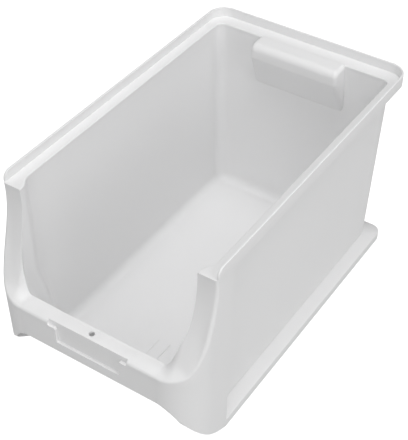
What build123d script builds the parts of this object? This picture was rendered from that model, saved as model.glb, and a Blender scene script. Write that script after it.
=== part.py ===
"""Stackable open-fronted storage box, moulded in one wall thickness.

The frame: X runs across the box, Y from the open front (-Y) to the back (+Y), Z up.
The origin is at the middle of the footprint, on the surface that the box stands on.
The moulding is divided into its functional zones, which meet face to face.
"""

import os

from build123d import *

# Overall size, in millimetres
box_width = 205.0
box_length = 353.0
box_height = 200.0

# Tub: one wall thickness, sides drawn in towards the floor
wall = 2.4
floor_thickness = 3.2
side_draft = 3.8
back_draft = 1.6
rear_corner_radius = 7.0
rear_corner_radius_floor = 14.0
floor_fillet = 8.5
mouth_narrowing = 6.2
mouth_narrow_length = 17.0
mouth_narrow_end = 141.0

# Stacking rim on the left, back and right
rim_start = 33.0
channel_depth = 9.1
side_ledge = 11.7
back_ledge = 16.0
ledge_thickness = 2.7
upstand_thickness = 2.0
upstand_setback = 1.5
upstand_end_radius = 7.0
rim_edge_radius = 0.6
ledge_edge_radius = 1.2
rim_corner_radius = 17.4

# Base rails, which sit in the channel of the box below
rail_clearance = 0.6
rail_edge_height = 8.4
rail_shoulder_height = 16.0
rail_thickness = 2.2
rail_corner_radius = 10.5

# Double-skinned front: columns, scooped flange, low lip and apron
column_length = 55.7
front_draft = 2.4
front_corner_radius = 30.8
lip_height = 94.8
lip_rise = 2.5
lip_width = 14.7
lip_corner_radius = 16.0
bulkhead_slope = 20.5
apron_bottom = 64.6
skirt_mid_reach = 24.5
skirt_mid_height = 21.2
flange_edge_radius = 3.0

# Side view of the flange as (share of the reach, share of the drop) from rim to lip
post_curve = (
    (0.01, 0.225),
    (0.136, 0.437),
    (0.336, 0.649),
    (0.515, 0.794),
    (0.712, 0.914),
    (0.879, 0.966),
)
lip_curve = ((0.05, 0.4), (0.2, 0.75), (0.38, 0.93), (0.55, 0.974), (0.75, 0.977), (0.9, 0.985))
flange_turn_start = 42.0
flange_turn_end = 84.0
flange_turn_steps = 5

# Label pocket in the apron
label_half_width = 32.0
label_ledge_height = 74.7
label_depth = 3.0
notch_length = 8.0
notch_height = 4.0
label_corner_radius = 1.8
label_hole_radius = 2.6
label_hole_setback = 8.4

# Hand grip under the back rim
grip_top_half_width = 45.5
grip_base_half_width = 49.0
grip_reach = 17.5
grip_nose_height = 14.5
grip_height = 52.0
grip_nose_radius = 7.0
grip_end_radius = 4.0

# Pair of fine guide ribs on the floor
guide_rib_spacing = 12.3
guide_rib_offset = 3.1
guide_rib_length = 30.0
guide_rib_width = 1.0
guide_rib_height = 0.6
guide_rib_end = 104.0

# Worked-out places
overrun = 10.0
front_y = -box_length / 2
back_y = box_length / 2
rim_half = box_width / 2
rim_front_y = front_y + rim_start
channel_floor = box_height - channel_depth
ledge_underside = channel_floor - ledge_thickness
inner_half_top = rim_half - side_ledge
inner_back_top = back_y - back_ledge
lip_top = lip_height + lip_rise
lip_inner_y = front_y + lip_width
rail_half = rim_half - upstand_thickness - rail_clearance
rail_back_y = back_y - upstand_thickness - rail_clearance
column_back_y = front_y + column_length
flange_drop = channel_floor - lip_height
label_back_y = front_y + label_depth
corner_x = rim_half - front_corner_radius - side_draft
floor_zone_x = inner_half_top - side_draft - floor_fillet - wall
back_zone_y = back_y - rim_corner_radius - overrun
lip_base = lip_height - 2 * wall
guide_rib_y = guide_rib_length / 2 - guide_rib_end
grip_seat_y = inner_back_top + ledge_edge_radius


def inner_half_at(height):
    """Half-width of the inside of the tub at a height."""
    return inner_half_top - side_draft * (1 - height / channel_floor)


def inner_back_at(height):
    """Inner Y of the back wall at a height."""
    return inner_back_top - back_draft * (1 - height / channel_floor)


def rear_radius_at(height):
    """Inner radius of the rear corners, which tighten towards the rim."""
    spread = rear_corner_radius_floor - rear_corner_radius
    return rear_corner_radius + spread * (1 - height / channel_floor)


def bulkhead_at(height):
    """Inner Y of the front inner wall, which slopes up to the lip."""
    return lip_inner_y + bulkhead_slope * max(0.0, 1 - height / lip_top)


def tub_plan(height, grow):
    """Plan of the inside of the tub at a height, grown outwards by a thickness."""
    half = inner_half_at(height) + grow
    mouth_half = half - mouth_narrowing
    low_y = bulkhead_at(height) - grow
    high_y = inner_back_at(height) + grow
    low_turn = lip_corner_radius + grow
    high_turn = rear_radius_at(height) + grow
    narrow_y = max(-mouth_narrow_end, low_y + low_turn + wall)
    wide_y = narrow_y + mouth_narrow_length
    with BuildSketch(Plane.XY.offset(height)) as plan:
        with BuildLine():
            Line((0, low_y), (mouth_half - low_turn, low_y))
            TangentArc((mouth_half - low_turn, low_y), (mouth_half, low_y + low_turn), tangent=(1, 0))
            Line((mouth_half, low_y + low_turn), (mouth_half, narrow_y))
            Spline((mouth_half, narrow_y), (half, wide_y), tangents=[(0, 1), (0, 1)])
            Line((half, wide_y), (half, high_y - high_turn))
            TangentArc((half, high_y - high_turn), (half - high_turn, high_y), tangent=(0, 1))
            Line((half - high_turn, high_y), (0, high_y))
            mirror(about=Plane.YZ)
        make_face()
    return plan.sketch


def ring_plan(height, half, low_y, high_y, low_radius, high_radius):
    """Rounded rectangle in plan; a radius of nothing leaves its corners sharp."""
    with BuildSketch(Plane.XY.offset(height)) as plan:
        with Locations((0, (low_y + high_y) / 2)):
            Rectangle(2 * half, high_y - low_y)
        if low_radius:
            fillet(plan.vertices().group_by(Axis.Y)[0], low_radius)
        if high_radius:
            fillet(plan.vertices().group_by(Axis.Y)[-1], high_radius)
    return plan.sketch


def stack(*plans):
    """Straight-sided solid through a stack of plans."""
    with BuildPart() as block:
        loft(plans, ruled=True)
    return block.part


def slab(x_low, x_high, y_low, y_high, z_low, z_high):
    """Box between two corners."""
    with BuildPart() as block:
        with Locations(((x_low + x_high) / 2, (y_low + y_high) / 2, (z_low + z_high) / 2)):
            Box(x_high - x_low, y_high - y_low, z_high - z_low)
    return block.part


def tub_block():
    """Solid outside of the tub, up to the underside of the ledge."""
    with BuildPart() as block:
        add(stack(tub_plan(0, wall), tub_plan(lip_top, wall)))
        add(stack(tub_plan(lip_top, wall), tub_plan(ledge_underside, wall)))
    return block.part


def cavity():
    """Inside of the tub, with a filleted floor."""
    with BuildPart() as space:
        add(stack(tub_plan(floor_thickness, 0), tub_plan(lip_top, 0)))
        fillet(space.faces().sort_by(Axis.Z)[0].edges(), floor_fillet)
        add(stack(tub_plan(lip_top, 0), tub_plan(box_height, 0)))
    return space.part


def flange_section(x, turn):
    """Side view of the open space before the flange, between lip shape (0) and post shape (1)."""
    points = [(rim_front_y, channel_floor)]
    for post, lip in zip(post_curve, lip_curve):
        reach = lip[0] + turn * (post[0] - lip[0])
        drop = lip[1] + turn * (post[1] - lip[1])
        points.append((rim_front_y - reach * rim_start, channel_floor - drop * flange_drop))
    points.append((front_y, lip_height))
    with BuildSketch(Plane.YZ.offset(x)) as view:
        with BuildLine():
            edge = Spline(*points)
            Polyline(
                edge @ 1,
                (front_y - 2 * overrun, lip_height - 2 * overrun * lip_rise / lip_width),
                (front_y - 2 * overrun, box_height + overrun),
                (rim_front_y, box_height + overrun),
                edge @ 0,
            )
        make_face()
    return view.sketch


def scoop_space():
    """Space before the scooped flange: it turns from the post shape into the lip shape."""
    far = rim_half + overrun
    span = flange_turn_end - flange_turn_start
    places = [(0.0, 0.0), (flange_turn_start / 2, 0.0)]
    for step in range(flange_turn_steps + 1):
        share = step / flange_turn_steps
        places.append((flange_turn_start + span * share, share * share * (3 - 2 * share)))
    places.append(((flange_turn_end + far) / 2, 1.0))
    places.append((far, 1.0))
    mirrored = [(-x, turn) for x, turn in reversed(places[1:])]
    with BuildPart() as space:
        loft([flange_section(x, turn) for x, turn in mirrored + places])
    return space.part


def without(body, *cutters):
    """A body less every cutter."""
    with BuildPart() as block:
        add(body)
        for cutter in cutters:
            add(cutter, mode=Mode.SUBTRACT)
    return block.part


def front_face_at(height):
    """Outer Y of the front face, which leans out up to the lip."""
    return front_y + front_draft * (1 - height / lip_height)


def on_flange_edge(edge):
    """Whether an edge lies where the flange meets the outer faces."""
    box = edge.bounding_box()
    return lip_base < box.min.Z < ledge_underside - wall and box.max.Y < rim_front_y + wall


def front_block():
    """Solid outside of the double-skinned front, scooped, with the flange's outer edge rounded."""
    low_y = front_face_at(0)
    high_y = front_face_at(ledge_underside)
    lower = ring_plan(0, rail_half, low_y, column_back_y, front_corner_radius, 0)
    upper = ring_plan(ledge_underside, rim_half, high_y, column_back_y, front_corner_radius, 0)
    with BuildPart() as block:
        add(stack(lower, upper))
        add(scoop, mode=Mode.SUBTRACT)
        fillet(block.edges().filter_by(on_flange_edge), flange_edge_radius)
    return block.part


def front_hollow():
    """Space between the outer skin and the tub, open downwards."""
    radius = front_corner_radius - wall
    rear_y = column_back_y - wall
    low_y = front_face_at(0) + wall
    high_y = front_face_at(ledge_underside) + wall
    lower = ring_plan(0, rail_half - wall, low_y, rear_y, radius, 0)
    upper = ring_plan(ledge_underside, rim_half - wall, high_y, rear_y, radius, 0)
    return without(stack(lower, upper), scoop.moved(Location((0, wall, -wall))))


def skirt_space():
    """Space under the apron and columns, whose lower edge sweeps down to the base."""
    with BuildPart() as space:
        with BuildSketch(Plane.YZ) as view:
            with BuildLine():
                edge = ThreePointArc(
                    (front_y, apron_bottom),
                    (front_y + skirt_mid_reach, skirt_mid_height),
                    (column_back_y, 0),
                )
                Polyline(
                    edge @ 1,
                    (column_back_y, -overrun),
                    (front_y - overrun, -overrun),
                    (front_y - overrun, apron_bottom),
                    edge @ 0,
                )
            make_face()
        extrude(amount=box_width, both=True)
    return space.part


def label_backing():
    """Thicker wall behind the label pocket, down to its ledge."""
    half = label_half_width + notch_length + wall
    return slab(-half, half, front_y, label_back_y + wall, label_ledge_height - wall, box_height)


def label_spaces():
    """Label pocket, which widens at its mouth, and the hole in the lip."""
    mouth_half = label_half_width + notch_length
    with BuildPart() as space:
        with BuildSketch(Plane.XZ.offset(-label_back_y)) as view:
            with BuildLine():
                Polyline(
                    (mouth_half, box_height),
                    (mouth_half, lip_height - notch_height),
                    (label_half_width, lip_height - notch_height),
                    (label_half_width, label_ledge_height),
                    (-label_half_width, label_ledge_height),
                    (-label_half_width, lip_height - notch_height),
                    (-mouth_half, lip_height - notch_height),
                    (-mouth_half, box_height),
                    (mouth_half, box_height),
                )
            make_face()
            levels = view.vertices().group_by(Axis.Y)
            fillet(levels[0] + levels[1], label_corner_radius)
        extrude(amount=label_depth + overrun)
        with Locations((0, front_y + label_hole_setback, lip_height)):
            Cylinder(label_hole_radius, 2 * overrun)
    return space.part


def rail_shell():
    """Hollow base rail round the sides and back, open downwards."""
    front = column_back_y
    shoulder_half = inner_half_at(rail_shoulder_height) + wall
    shoulder_back = inner_back_at(rail_shoulder_height) + wall
    shoulder_radius = rear_radius_at(rail_shoulder_height) + wall
    outer = stack(
        ring_plan(0, rail_half, front, rail_back_y, 0, rail_corner_radius),
        ring_plan(rail_edge_height, rail_half, front, rail_back_y, 0, rail_corner_radius),
        ring_plan(rail_shoulder_height, shoulder_half, front, shoulder_back, 0, shoulder_radius),
    )
    half = rail_half - rail_thickness
    back = rail_back_y - rail_thickness
    radius = rail_corner_radius - rail_thickness
    shoulder_half -= rail_thickness / 2
    shoulder_back -= rail_thickness / 2
    shoulder_height = rail_shoulder_height - rail_thickness
    inner = stack(
        ring_plan(0, half, front, back, 0, radius),
        ring_plan(rail_edge_height - rail_thickness / 2, half, front, back, 0, radius),
        ring_plan(shoulder_height, shoulder_half, front, shoulder_back, 0, shoulder_radius),
    )
    return without(outer, inner, tub)


def on_ledge_corner(edge):
    """Whether an edge is an upright front corner of the ledge."""
    middle = edge.center()
    return abs(middle.X) > rim_half - rim_edge_radius and middle.Y < rim_front_y + wall


def on_ledge_brink(edge):
    """Whether an edge runs round the tub along the top of the ledge."""
    middle = edge.center()
    inside_rim = abs(middle.X) < rim_half - side_ledge / 2 and middle.Y < back_y - back_ledge / 2
    on_top = edge.bounding_box().min.Z > channel_floor - ledge_thickness / 2
    return inside_rim and on_top and middle.Y > rim_front_y + wall


def ledge_slab():
    """Channel floor of the stacking rim, on the left, right and back."""
    lower = ring_plan(ledge_underside, rim_half, rim_front_y - rim_start, back_y, 0, rim_corner_radius)
    upper = ring_plan(channel_floor, rim_half, rim_front_y - rim_start, back_y, 0, rim_corner_radius)
    with BuildPart() as block:
        add(without(stack(lower, upper), inside, scoop))
        fillet(block.edges().filter_by(on_ledge_corner), flange_edge_radius)
        fillet(block.edges().filter_by(on_ledge_brink), ledge_edge_radius)
    return block.part


def upstand_ring():
    """Upstand round the outside of the channel, with rounded front ends."""
    start = rim_front_y + upstand_setback
    inner_half = rim_half - upstand_thickness
    inner_back = back_y - upstand_thickness
    inner_radius = rim_corner_radius - upstand_thickness
    with BuildPart() as ring:
        with BuildSketch(Plane.XY.offset(channel_floor)):
            add(ring_plan(0, rim_half, start, back_y, 0, rim_corner_radius))
            add(ring_plan(0, inner_half, start - overrun, inner_back, 0, inner_radius), mode=Mode.SUBTRACT)
        extrude(amount=channel_depth)
        ends = ring.faces().group_by(Axis.Y)[0].edges().filter_by(Axis.X).group_by(Axis.Z)[-1]
        fillet(ends, upstand_end_radius)
        top = ring.faces().sort_by(Axis.Z)[-1]
        fillet(top.edges().filter_by(lambda edge: edge.length > 2 * upstand_thickness), rim_edge_radius)
    return ring.part


def grip_view(inset):
    """Side view of the hand grip, drawn in by a thickness."""
    nose_y = inner_back_top - grip_reach + inset
    top = channel_floor - inset
    nose_bottom = channel_floor - grip_nose_height
    root = channel_floor - grip_height + inset
    with BuildSketch(Plane.YZ.offset(-grip_base_half_width)) as view:
        with BuildLine():
            Polyline(
                (inner_back_top + overrun, top),
                (nose_y, top),
                (nose_y, nose_bottom),
                (inner_back_top, root),
                (inner_back_top + overrun, root),
                (inner_back_top + overrun, top),
            )
        make_face()
        fillet(view.vertices().group_by(Axis.X)[0], grip_nose_radius - inset)
    return view.sketch


def grip_plan(inset):
    """Front view of the hand grip, wider towards its base."""
    with BuildSketch(Plane.XZ.offset(-back_y)) as view:
        with BuildLine():
            Polyline(
                (grip_top_half_width - inset, channel_floor),
                (grip_base_half_width - inset, channel_floor - grip_height),
                (-grip_base_half_width + inset, channel_floor - grip_height),
                (-grip_top_half_width + inset, channel_floor),
                (grip_top_half_width - inset, channel_floor),
            )
        make_face()
    return view.sketch


def grip_block(inset):
    """Solid of the hand grip at an inset: its side view within its front view."""
    with BuildPart() as block:
        extrude(grip_view(inset), amount=2 * grip_base_half_width, dir=(1, 0, 0))
        extrude(grip_plan(inset), amount=2 * back_y, dir=(0, -1, 0), mode=Mode.INTERSECT)
        for end in (block.faces().sort_by(Axis.X)[0], block.faces().sort_by(Axis.X)[-1]):
            fillet(end.edges().sort_by(Axis.Y)[:-2], grip_end_radius - inset / 2)
    return block.part


def zone(x_low, x_high, y_low, y_high, z_low=-overrun, z_high=box_height + overrun):
    """Block that marks out one zone of the moulding."""
    return slab(x_low, x_high, y_low, y_high, z_low, z_high)


tub = tub_block()
inside = cavity()
scoop = scoop_space()
hollow = without(front_hollow(), label_backing())
skin = without(front_block(), hollow, skirt_space(), label_spaces(), tub)
walls = without(tub, inside, scoop)
rails = rail_shell()
ledge = ledge_slab()
upstand = upstand_ring()
os.makedirs("parts", exist_ok=True)

with BuildPart() as floor_panel:
    add(walls)
    add(zone(-floor_zone_x, floor_zone_x, column_back_y, back_zone_y), mode=Mode.INTERSECT)
    rib_x = (guide_rib_offset - guide_rib_spacing / 2, guide_rib_offset + guide_rib_spacing / 2)
    with Locations(*((x, guide_rib_y, floor_thickness) for x in rib_x)):
        Box(guide_rib_width, guide_rib_length, 2 * guide_rib_height)
floor_panel.part.label = "floor_panel"
export_step(floor_panel.part, "parts/floor_panel.step")

with BuildPart() as back_wall:
    add(walls)
    add(zone(-rim_half, rim_half, back_zone_y, back_y), mode=Mode.INTERSECT)
    add(grip_block(wall), mode=Mode.SUBTRACT)
back_wall.part.label = "back_wall"
export_step(back_wall.part, "parts/back_wall.step")

with BuildPart() as rear_grip:
    add(grip_block(0))
    add(zone(-rim_half, rim_half, back_zone_y - back_ledge, grip_seat_y), mode=Mode.INTERSECT)
    add(grip_block(wall), mode=Mode.SUBTRACT)
    add(walls, mode=Mode.SUBTRACT)
    add(ledge, mode=Mode.SUBTRACT)
rear_grip.part.label = "rear_grip"
export_step(rear_grip.part, "parts/rear_grip.step")

with BuildPart() as front_inner_wall:
    add(walls)
    add(zone(-corner_x, corner_x, front_y, column_back_y, z_high=lip_base), mode=Mode.INTERSECT)
front_inner_wall.part.label = "front_inner_wall"
export_step(front_inner_wall.part, "parts/front_inner_wall.step")

with BuildPart() as front_lip:
    add(skin)
    add(walls)
    add(zone(-corner_x, corner_x, front_y, column_back_y, z_low=lip_base), mode=Mode.INTERSECT)
front_lip.part.label = "front_lip"
export_step(front_lip.part, "parts/front_lip.step")

with BuildPart() as front_apron:
    add(skin)
    add(zone(-corner_x, corner_x, front_y, column_back_y, z_high=lip_base), mode=Mode.INTERSECT)
front_apron.part.label = "front_apron"
export_step(front_apron.part, "parts/front_apron.step")

for side, name in ((-1, "left"), (1, "right")):
    low_x = corner_x if side > 0 else -rim_half
    high_x = rim_half if side > 0 else -corner_x
    floor_edge = floor_zone_x if side > 0 else -rim_half
    wall_edge = rim_half if side > 0 else -floor_zone_x
    half_low = 0 if side > 0 else -rim_half
    half_high = rim_half if side > 0 else 0

    with BuildPart() as side_wall:
        add(walls)
        add(zone(floor_edge, wall_edge, column_back_y, back_zone_y), mode=Mode.INTERSECT)
    side_wall.part.label = name + "_side_wall"
    export_step(side_wall.part, "parts/" + name + "_side_wall.step")

    with BuildPart() as front_corner:
        add(skin)
        add(walls)
        add(zone(low_x, high_x, front_y, column_back_y, z_high=lip_base), mode=Mode.INTERSECT)
    front_corner.part.label = name + "_front_corner"
    export_step(front_corner.part, "parts/" + name + "_front_corner.step")

    with BuildPart() as front_column:
        add(skin)
        add(walls)
        add(zone(low_x, high_x, front_y, column_back_y, z_low=lip_base), mode=Mode.INTERSECT)
    front_column.part.label = name + "_front_column"
    export_step(front_column.part, "parts/" + name + "_front_column.step")

    with BuildPart() as base_rail:
        add(rails)
        add(zone(half_low, half_high, front_y, back_zone_y), mode=Mode.INTERSECT)
    base_rail.part.label = name + "_base_rail"
    export_step(base_rail.part, "parts/" + name + "_base_rail.step")

    with BuildPart() as rim_ledge:
        add(ledge)
        add(zone(half_low, half_high, front_y, back_zone_y), mode=Mode.INTERSECT)
    rim_ledge.part.label = name + "_rim_ledge"
    export_step(rim_ledge.part, "parts/" + name + "_rim_ledge.step")

    with BuildPart() as rim_upstand:
        add(upstand)
        add(zone(half_low, half_high, front_y, back_zone_y), mode=Mode.INTERSECT)
    rim_upstand.part.label = name + "_rim_upstand"
    export_step(rim_upstand.part, "parts/" + name + "_rim_upstand.step")

with BuildPart() as back_base_rail:
    add(rails)
    add(zone(-rim_half, rim_half, back_zone_y, back_y), mode=Mode.INTERSECT)
back_base_rail.part.label = "back_base_rail"
export_step(back_base_rail.part, "parts/back_base_rail.step")

with BuildPart() as back_rim_ledge:
    add(ledge)
    add(zone(-rim_half, rim_half, back_zone_y, back_y), mode=Mode.INTERSECT)
back_rim_ledge.part.label = "back_rim_ledge"
export_step(back_rim_ledge.part, "parts/back_rim_ledge.step")

with BuildPart() as back_rim_upstand:
    add(upstand)
    add(zone(-rim_half, rim_half, back_zone_y, back_y), mode=Mode.INTERSECT)
back_rim_upstand.part.label = "back_rim_upstand"
export_step(back_rim_upstand.part, "parts/back_rim_upstand.step")
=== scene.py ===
"""Looks of a stackable open-fronted storage box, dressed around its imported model."""

from __future__ import annotations

import logging
import math
from dataclasses import dataclass, field
from enum import Enum

import bpy
from mathutils import Matrix, Vector


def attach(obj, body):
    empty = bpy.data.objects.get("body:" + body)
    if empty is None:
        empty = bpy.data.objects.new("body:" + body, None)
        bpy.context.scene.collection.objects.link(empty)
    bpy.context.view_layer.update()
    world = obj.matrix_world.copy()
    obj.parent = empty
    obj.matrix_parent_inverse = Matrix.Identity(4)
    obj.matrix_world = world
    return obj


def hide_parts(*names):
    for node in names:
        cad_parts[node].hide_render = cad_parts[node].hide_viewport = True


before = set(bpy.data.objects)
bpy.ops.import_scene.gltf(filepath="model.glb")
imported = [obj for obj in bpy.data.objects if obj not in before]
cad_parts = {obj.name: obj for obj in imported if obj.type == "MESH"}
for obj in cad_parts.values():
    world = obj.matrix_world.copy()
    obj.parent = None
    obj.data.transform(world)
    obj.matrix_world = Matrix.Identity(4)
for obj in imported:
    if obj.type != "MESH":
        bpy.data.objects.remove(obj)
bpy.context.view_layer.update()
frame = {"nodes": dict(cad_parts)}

logging.basicConfig(level=logging.INFO, format="%(message)s")
LOG = logging.getLogger("storage_box")

MM = 0.001
BODY = "root"

Triple = tuple[float, float, float]
Span = tuple[float, float]


class Zone(Enum):
    """Groups of the moulding's zones, in the order in which they are dressed."""

    TUB = ("floor_panel", "left_side_wall", "right_side_wall", "back_wall", "front_inner_wall")
    FRONT = (
        "front_lip",
        "front_apron",
        "left_front_corner",
        "right_front_corner",
        "left_front_column",
        "right_front_column",
    )
    RIM = (
        "left_rim_ledge",
        "right_rim_ledge",
        "back_rim_ledge",
        "left_rim_upstand",
        "right_rim_upstand",
        "back_rim_upstand",
    )
    GRIP = ("rear_grip",)
    RAIL = ("left_base_rail", "right_base_rail", "back_base_rail")


class Value:
    """A shader socket that takes part in Python arithmetic."""

    def __init__(self, graph: Graph, socket: bpy.types.NodeSocket | None) -> None:
        """Wraps one output socket of a graph.

        Args:
            graph: the node tree that the socket belongs to.
            socket: the output, or nothing for a node without outputs.
        """
        self.graph = graph
        self.socket = socket

    def _math(self, operation: str, *operands: object) -> Value:
        """Adds one Math node.

        Args:
            operation: name of the Math operation.
            operands: values or numbers for its inputs.

        Returns:
            The node's output.
        """
        return self.graph.node(
            "ShaderNodeMath", {"operation": operation}, dict(enumerate(operands))
        )

    def __add__(self, other: object) -> Value:
        """Sum."""
        return self._math("ADD", self, other)

    __radd__ = __add__

    def __sub__(self, other: object) -> Value:
        """Difference."""
        return self._math("SUBTRACT", self, other)

    def __mul__(self, other: object) -> Value:
        """Product."""
        return self._math("MULTIPLY", self, other)


class Graph:
    """The node tree of one material."""

    def __init__(self, name: str) -> None:
        """Makes an empty material.

        Args:
            name: the material's name.
        """
        self.material = bpy.data.materials.new(name)
        self.material.use_nodes = True
        self.tree = self.material.node_tree
        self.tree.nodes.clear()

    def node(
        self,
        kind: str,
        settings: dict[str, object],
        inputs: dict[str | int, object],
        output: str | int = 0,
    ) -> Value:
        """Adds a node.

        Args:
            kind: the node's type.
            settings: properties that are set before its sockets.
            inputs: values or links by socket name or index.
            output: the output to hand back.

        Returns:
            The chosen output as a value.
        """
        made = self.tree.nodes.new(kind)
        for key, setting in settings.items():
            setattr(made, key, setting)
        for key, given in inputs.items():
            target = made.inputs[key]
            if isinstance(given, Value):
                self.tree.links.new(given.socket, target)
            else:
                target.default_value = given
        return Value(self, made.outputs[output] if len(made.outputs) else None)

    def place(self) -> Value:
        """Object coordinates of the shaded point.

        Returns:
            The coordinates, in metres.
        """
        return self.node("ShaderNodeTexCoord", {}, {}, "Object")

    def noise(self, where: Value, scale: float, detail: float) -> Value:
        """Adds a noise texture.

        Args:
            where: the coordinates that it follows.
            scale: how many of its waves go into a metre.
            detail: how many finer layers it has.

        Returns:
            Its value, from 0 to 1.
        """
        return self.node(
            "ShaderNodeTexNoise",
            {"noise_dimensions": "3D"},
            {"Vector": where, "Scale": scale, "Detail": detail, "Roughness": 0.5},
            "Fac",
        )

    def mix(self, share: object, low: Triple, high: Triple) -> Value:
        """Mixes two colours.

        Args:
            share: 0 for the first colour, 1 for the second.
            low: the first colour.
            high: the second colour.

        Returns:
            The mixed colour.
        """
        return self.node(
            "ShaderNodeMix",
            {"data_type": "RGBA"},
            {0: share, 6: (*low, 1.0), 7: (*high, 1.0)},
            2,
        )


@dataclass(frozen=True)
class SatinPlastic:
    """Finish of the white moulding: satin, a little cloudy, with a fine spark-eroded grain."""

    name: str
    pale: Triple = (0.9, 0.9, 0.902)
    deep: Triple = (0.88, 0.88, 0.883)
    roughness: float = 0.42
    roughness_swing: float = 0.08
    cloud_scale: float = 9.0
    cloud_detail: float = 3.0
    grain_scale: float = 900.0
    grain_detail: float = 2.0
    grain_strength: float = 0.035
    grain_depth: float = 0.0002
    ior: float = 1.49
    milkiness: float = 0.15
    milk_depth: Triple = (0.004, 0.004, 0.004)

    def build(self) -> bpy.types.Material:
        """Makes the material.

        Returns:
            The finished material.
        """
        graph = Graph(self.name)
        where = graph.place()
        cloud = graph.noise(where, self.cloud_scale, self.cloud_detail)
        grain = graph.noise(where, self.grain_scale, self.grain_detail)
        bump = graph.node(
            "ShaderNodeBump",
            {},
            {"Strength": self.grain_strength, "Distance": self.grain_depth, "Height": grain},
        )
        shader = graph.node(
            "ShaderNodeBsdfPrincipled",
            {},
            {
                "Base Color": graph.mix(cloud, self.deep, self.pale),
                "Roughness": self.roughness + (cloud - 0.5) * self.roughness_swing,
                "Normal": bump,
                "IOR": self.ior,
                "Subsurface Weight": self.milkiness,
                "Subsurface Radius": self.milk_depth,
                "Subsurface Scale": 1.0,
            },
        )
        graph.node("ShaderNodeOutputMaterial", {}, {"Surface": shader})
        return graph.material


def held(share: float) -> float:
    """Keeps a share between 0 and 1.

    Args:
        share: any number.

    Returns:
        The nearest number from 0 to 1.
    """
    return min(1.0, max(0.0, share))


def part_way(value: float, span: Span) -> float:
    """Where a value stands between two others.

    Args:
        value: any number.
        span: the number that counts as 0, and the number that counts as 1.

    Returns:
        The share of the way, which may lie outside 0 to 1.
    """
    low, high = span
    return (value - low) / (high - low)


def eased(share: float) -> float:
    """Smooth step of a share, level at both ends.

    Args:
        share: any number; below 0 and above 1 it counts as 0 and 1.

    Returns:
        A number from 0 to 1.
    """
    kept = held(share)
    return kept * kept * (3.0 - 2.0 * kept)


def along(curve: tuple[Span, ...], share: float) -> float:
    """Reads a smooth curve through points.

    Args:
        curve: (way, height) points from left to right.
        share: the way at which it is read.

    Returns:
        The height there.
    """
    last = len(curve) - 1
    way = min(curve[last][0], max(curve[0][0], share))
    at = next(i for i in range(1, last + 1) if way <= curve[i][0])
    (x0, y0), (x1, y1) = curve[at - 1], curve[at]
    before, after = curve[max(0, at - 2)], curve[min(last, at + 1)]
    rise0 = (y1 - before[1]) / (x1 - before[0])
    rise1 = (after[1] - y0) / (after[0] - x0)
    span, t = x1 - x0, (way - x0) / (x1 - x0)
    return (
        (2 * t**3 - 3 * t**2 + 1) * y0
        + (t**3 - 2 * t**2 + t) * span * rise0
        + (3 * t**2 - 2 * t**3) * y1
        + (t**3 - t**2) * span * rise1
    )


@dataclass(frozen=True)
class FrontShape:
    """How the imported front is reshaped, in millimetres of the box's own frame.

    The corners of the flange fold up more tightly, the front wall of the tub stands further
    back at the floor, and the lower edge of the apron is level.
    """

    front: float = -176.5
    rim_front: float = -143.5
    channel: float = 190.9
    lip: float = 94.8
    seam: float = 90.0
    packed_turn: Span = (42.0, 84.0)
    tight_turn: Span = (67.9, 80.0)
    flange_depth: float = 6.0
    least_room: float = 1.5
    post_curve: tuple[Span, ...] = (
        (0.0, 0.0),
        (0.01, 0.225),
        (0.136, 0.437),
        (0.336, 0.649),
        (0.515, 0.794),
        (0.712, 0.914),
        (0.879, 0.966),
        (1.0, 1.0),
    )
    lip_curve: tuple[Span, ...] = (
        (0.0, 0.0),
        (0.05, 0.4),
        (0.2, 0.75),
        (0.38, 0.93),
        (0.55, 0.974),
        (0.75, 0.977),
        (0.9, 0.985),
        (1.0, 1.0),
    )
    wall_shift: float = 11.0
    wall_front: float = -166.0
    wall_foot: float = -132.8
    zone_end: float = -120.8
    tub_half: Span = (85.0, 89.0)
    apron_top: float = 66.0
    apron_squeeze: float = 0.69
    apron_half: Span = (63.0, 85.0)

    def folded(self, x: float, y: float, z: float) -> float:
        """Draws the turn of the flange into the corner.

        Args:
            x: place of a point across the box.
            y: its place along the box.
            z: its height.

        Returns:
            Its new height.
        """
        share = part_way(y, (self.rim_front, self.front))
        if share <= 0.0 or z <= self.seam:
            return z
        drop = self.channel - self.lip
        post = self.channel - drop * along(self.post_curve, share)
        lip = self.channel - drop * along(self.lip_curve, share)
        packed = eased(part_way(abs(x), self.packed_turn))
        tight = eased(part_way(abs(x), self.tight_turn))
        surface = lip + packed * (post - lip)
        room = max(surface - self.flange_depth - self.seam, self.least_room)
        return z + (tight - packed) * (post - lip) * min(1.0, (z - self.seam) / room)

    def set_back(self, x: float, y: float, z: float) -> float:
        """Slopes the front wall of the tub further back towards the floor.

        Args:
            x: place of a point across the box.
            y: its place along the box.
            z: its height.

        Returns:
            Its new place along the box.
        """
        if y < self.wall_front or y > self.zone_end or z >= self.seam:
            return y
        inside = 1.0 - eased(part_way(abs(x), self.tub_half))
        shift = self.wall_shift * (1.0 - z / self.seam) * inside
        if y > self.wall_foot:
            shift *= part_way(y, (self.zone_end, self.wall_foot))
        return y + shift

    def raised(self, x: float, y: float, z: float) -> float:
        """Squeezes the lower edge of the apron up to the height of its outer face.

        Args:
            x: place of a point across the box.
            y: its place along the box.
            z: its height.

        Returns:
            Its new height.
        """
        if y > self.wall_front or z >= self.apron_top:
            return z
        share = 1.0 - held(part_way(abs(x), self.apron_half))
        return z + share * self.apron_squeeze * (self.apron_top - z)

    def place(self, point: Vector) -> Vector:
        """Moves one point.

        Args:
            point: its place, in metres.

        Returns:
            Its new place, in metres.
        """
        x, y, z = (value / MM for value in point)
        height = self.folded(x, y, z) if z > self.seam else self.raised(x, y, z)
        return Vector((x, self.set_back(x, y, z), height)) * MM


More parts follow.
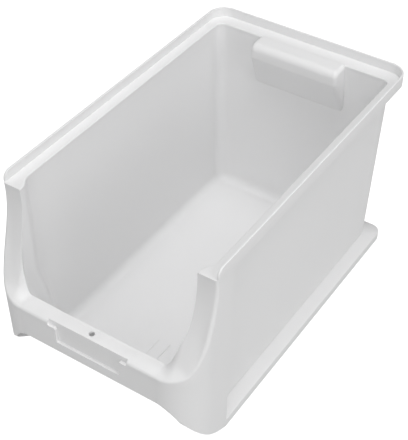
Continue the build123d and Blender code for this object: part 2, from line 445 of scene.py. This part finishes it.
@dataclass
class FrontEnd:
    """Front zones of the moulding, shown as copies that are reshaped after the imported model."""

    shape: FrontShape = field(default_factory=FrontShape)
    zones: tuple[str, ...] = (
        "front_lip",
        "front_apron",
        "left_front_column",
        "right_front_column",
        "front_inner_wall",
        "left_front_corner",
        "right_front_corner",
    )
    folding: tuple[str, ...] = ("front_lip", "left_front_column", "right_front_column")
    merge_mm: float = 0.002
    longest_mm: float = 3.0
    margins_mm: Triple = (2.0, 5.0, 1.0)
    rounds: int = 3
    crease: float = 32.0

    def in_turn(self, point: Vector) -> bool:
        """Tells whether a point lies in or close to the tight turn.

        Args:
            point: its place, in millimetres.

        Returns:
            True if it does.
        """
        low, high = self.shape.tight_turn
        inward, outward, behind = self.margins_mm
        return (
            low - inward < abs(point.x) < high + outward
            and point.y < self.shape.rim_front + behind
            and point.z > self.shape.seam
        )

    def split(self, piece: bpy.types.Object) -> None:
        """Halves the long edges in the tight turn, so that it can be folded.

        Args:
            piece: the active object, in edit mode and with nothing selected.
        """
        for _ in range(self.rounds):
            bpy.ops.object.mode_set(mode="OBJECT")
            mesh = piece.data
            for edge in mesh.edges:
                one, other = (mesh.vertices[index].co / MM for index in edge.vertices)
                near = self.in_turn(one) or self.in_turn(other)
                edge.select = near and (one - other).length > self.longest_mm
            bpy.ops.object.mode_set(mode="EDIT")
            bpy.ops.mesh.subdivide(number_cuts=1)
            bpy.ops.mesh.select_all(action="DESELECT")

    def copy(self, node: bpy.types.Object, name: str) -> bpy.types.Object:
        """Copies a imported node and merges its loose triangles.

        Args:
            node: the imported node.
            name: the copy's name.

        Returns:
            The copy, active and in edit mode, with nothing selected.
        """
        bpy.ops.object.select_all(action="DESELECT")
        piece = node.copy()
        piece.data = node.data.copy()
        piece.name = name
        piece.parent = None
        piece.matrix_world = Matrix.Identity(4)
        bpy.context.scene.collection.objects.link(piece)
        bpy.context.view_layer.objects.active = piece
        piece.select_set(True)
        bpy.ops.object.mode_set(mode="EDIT")
        bpy.context.tool_settings.mesh_select_mode = (False, True, False)
        bpy.ops.mesh.customdata_custom_splitnormals_clear()
        bpy.ops.mesh.select_all(action="SELECT")
        bpy.ops.mesh.remove_doubles(threshold=self.merge_mm * MM)
        bpy.ops.mesh.select_all(action="DESELECT")
        return piece

    def smooth(self, piece: bpy.types.Object) -> None:
        """Shades a piece smooth up to its creases.

        Args:
            piece: the active object, in object mode.
        """
        bpy.ops.object.shade_smooth_by_angle(angle=math.radians(self.crease))
        weigh = piece.modifiers.new("weigh_normals", "WEIGHTED_NORMAL")
        weigh.keep_sharp = True
        bpy.ops.object.modifier_apply(modifier=weigh.name)

    def build(self, nodes: dict[str, bpy.types.Object]) -> list[bpy.types.Object]:
        """Makes a merged, reshaped copy of each zone and puts it in the zone's place.

        Args:
            nodes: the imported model's nodes by name.

        Returns:
            The new pieces.
        """
        pieces = []
        for name in self.zones:
            piece = self.copy(nodes[name], f"{name}_refined")
            if name in self.folding:
                self.split(piece)
            bpy.ops.object.mode_set(mode="OBJECT")
            for vertex in piece.data.vertices:
                vertex.co = self.shape.place(vertex.co)
            self.smooth(piece)
            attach(piece, BODY)
            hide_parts(name)
            pieces.append(piece)
        return pieces


@dataclass
class Moulding:
    """The box itself: every zone of the moulding in its satin plastic."""

    finish: SatinPlastic = field(default_factory=lambda: SatinPlastic("satin_polypropylene"))

    def dress(
        self, nodes: dict[str, bpy.types.Object], pieces: list[bpy.types.Object]
    ) -> list[str]:
        """Gives each zone the plastic.

        Args:
            nodes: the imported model's nodes by name.
            pieces: the reshaped copies.

        Returns:
            The names of all that was dressed.
        """
        plastic = self.finish.build()
        dressed = []
        for item in [*pieces, *(nodes[name] for zone in Zone for name in zone.value)]:
            item.data.materials.clear()
            item.data.materials.append(plastic)
            dressed.append(item.name)
        return dressed


@dataclass
class Camera:
    """The camera at the photograph's place, in the box's own frame."""

    place_mm: Triple = (400.47, -623.73, 743.83)
    azimuth: float = 32.894
    elevation: float = 41.135
    roll: float = 0.709
    lens: float = 89.485
    sensor: float = 36.0
    clip: Span = (0.01, 20.0)

    def build(self) -> bpy.types.Object:
        """Makes the camera and sets it as the scene's own.

        Returns:
            The camera object.
        """
        a, e, r = (math.radians(x) for x in (self.azimuth, self.elevation, self.roll))
        back = Vector((math.sin(a) * math.cos(e), -math.cos(a) * math.cos(e), math.sin(e)))
        right = Vector((math.cos(a), math.sin(a), 0.0))
        up = back.cross(right)
        side = right * math.cos(r) + up * math.sin(r)
        rise = up * math.cos(r) - right * math.sin(r)
        data = bpy.data.cameras.new("photo_camera")
        data.lens = self.lens
        data.sensor_width = self.sensor
        data.clip_start, data.clip_end = self.clip
        camera = bpy.data.objects.new("photo_camera", data)
        turn = Matrix((side, rise, back)).transposed().to_4x4()
        turn.translation = Vector(self.place_mm) * MM
        camera.matrix_world = turn
        bpy.context.scene.collection.objects.link(camera)
        bpy.context.scene.camera = camera
        return camera


@dataclass(frozen=True)
class SoftLight:
    """One soft square light, in metres and watts."""

    name: str
    place: Triple
    power: float
    aim: Triple = (0.0, 0.0, 0.1)
    side: float = 1.2

    def build(self) -> bpy.types.Object:
        """Makes the light.

        Returns:
            The light object.
        """
        data = bpy.data.lights.new(self.name, "AREA")
        data.shape = "SQUARE"
        data.size = self.side
        data.energy = self.power
        lamp = bpy.data.objects.new(self.name, data)
        lamp.location = self.place
        facing = Vector(self.aim) - Vector(self.place)
        lamp.rotation_mode = "QUATERNION"
        lamp.rotation_quaternion = facing.to_track_quat("-Z", "Y")
        bpy.context.scene.collection.objects.link(lamp)
        return lamp


@dataclass
class Studio:
    """Plain pale floor and plain soft studio light."""

    lights: tuple[SoftLight, ...] = (
        SoftLight("overhead_light", (0.25, -0.15, 2.3), 19.6),
        SoftLight("side_light", (1.7, -0.3, 1.1), 10.7),
        SoftLight("front_light", (0.4, -1.7, 1.3), 7.4),
    )
    floor_side: float = 12.0
    floor_gap: float = 0.0002
    floor_colour: Triple = (0.35, 0.35, 0.35)
    floor_roughness: float = 0.9
    floor_shine: float = 0.1
    floor_seen: Triple = (1.0, 1.0, 1.0)
    floor_felt: Triple = (0.28, 0.28, 0.28)
    surround: float = 0.293

    def floor(self) -> bpy.types.Object:
        """Makes the floor just under the base: white to the camera, dimmer to the box.

        Returns:
            The floor object.
        """
        bpy.ops.object.select_all(action="DESELECT")
        bpy.ops.mesh.primitive_plane_add(size=self.floor_side, location=(0, 0, -self.floor_gap))
        floor = bpy.context.object
        floor.name = "studio_floor"
        graph = Graph("studio_floor")
        looked_at = graph.node("ShaderNodeLightPath", {}, {}, "Is Camera Ray")
        shader = graph.node(
            "ShaderNodeBsdfPrincipled",
            {},
            {
                "Base Color": (*self.floor_colour, 1.0),
                "Roughness": self.floor_roughness,
                "Specular IOR Level": self.floor_shine,
                "Emission Color": graph.mix(looked_at, self.floor_felt, self.floor_seen),
                "Emission Strength": 1.0,
            },
        )
        graph.node("ShaderNodeOutputMaterial", {}, {"Surface": shader})
        floor.data.materials.append(graph.material)
        return floor

    def world(self) -> bpy.types.World:
        """Makes an even, faint white surround.

        Returns:
            The world.
        """
        world = bpy.data.worlds.new("studio_world")
        world.use_nodes = True
        sky = world.node_tree.nodes["Background"]
        sky.inputs["Color"].default_value = (1.0, 1.0, 1.0, 1.0)
        sky.inputs["Strength"].default_value = self.surround
        return world

    def build(self) -> None:
        """Makes the floor, the lights and the world."""
        self.floor()
        for light in self.lights:
            light.build()
        scene = bpy.context.scene
        scene.world = self.world()
        scene.view_settings.view_transform = "Standard"
        scene.view_settings.look = "None"


def main() -> None:
    """Builds the box's looks, the studio and the camera in order."""
    bpy.ops.object.select_all(action="DESELECT")
    pieces = FrontEnd().build(frame["nodes"])
    for piece in pieces:
        LOG.info("reshaped %s", piece.name)
    for name in Moulding().dress(frame["nodes"], pieces):
        LOG.info("dressed %s", name)
    Studio().build()
    LOG.info("built the studio")
    Camera().build()
    LOG.info("built the camera")


if __name__ == "__main__":
    main()
